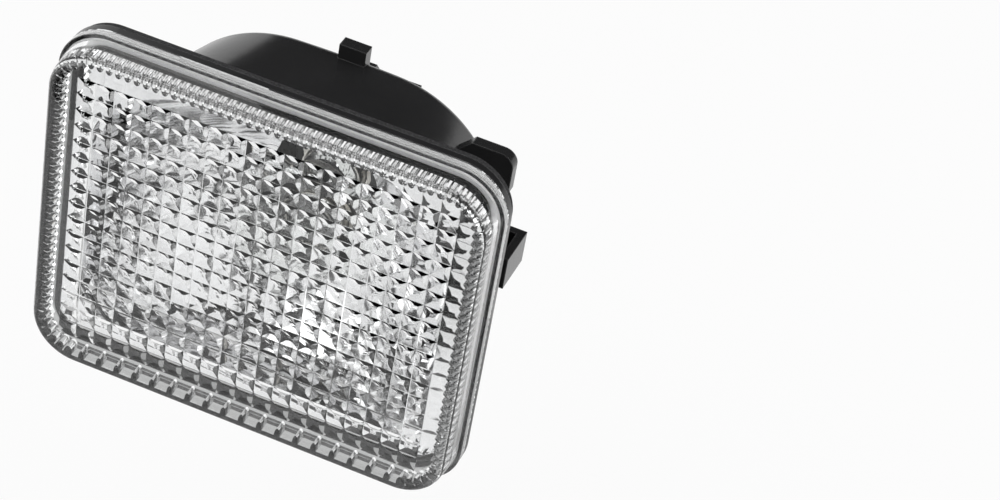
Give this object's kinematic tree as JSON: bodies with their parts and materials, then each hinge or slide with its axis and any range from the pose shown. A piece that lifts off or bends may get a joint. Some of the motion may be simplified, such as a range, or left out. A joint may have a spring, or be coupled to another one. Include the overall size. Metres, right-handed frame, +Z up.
{
  "type": "tail lamp",
  "caption": "Plug-in rear lamp unit with a clear prism lens, foam-backed flange, black domed housing, side spring clip and twist-in bulb holder with a connector socket.",
  "frame": {"origin": "middle of the lens outline on the back face of the foam gasket, the plane that seats on the body panel", "axes": "+X to the right and +Z up as seen from in front of the lens, +Y from the lens to the connector"},
  "size_m": [0.1157, 0.079, 0.092],
  "materials": {
    "clear_lens": "clear moulded acrylic, polished outside, prisms inside",
    "grey_sealant": "matt sealant bead",
    "black_housing": "glossy black moulding",
    "black_foam": "fine-grained closed-cell foam",
    "spring_steel": "bare spring steel strip",
    "metallised": "vacuum-metallised plastic",
    "bulb_glass": "clear blown glass",
    "wire_metal": "drawn wire",
    "brass": "plain brass",
    "black_insulator": "black vitreous glass",
    "solder": "soft solder dome",
    "black_holder": "satin black moulding",
    "black_rubber": "moulded rubber ring",
    "tinned_terminal": "tinned brass strip"
  },
  "bodies": {
    "root": {"lens": "clear_lens", "lens_seal": "grey_sealant", "housing": "black_housing", "mounting_gasket": "black_foam", "spring_clip": "spring_steel", "reflector": "metallised", "bulb_glass": "bulb_glass", "bulb_stem": "bulb_glass", "bulb_lead_live": "wire_metal", "bulb_lead_earth": "wire_metal", "bulb_filament": "wire_metal", "bulb_cap": "brass", "bulb_pin_right": "brass", "bulb_pin_left": "brass", "bulb_insulator": "black_insulator", "bulb_contact": "solder", "bulb_holder": "black_holder", "holder_seal": "black_rubber", "socket_sleeve": "brass", "terminal_feed": "tinned_terminal", "terminal_earth": "tinned_terminal"}
  },
  "joints": []
}
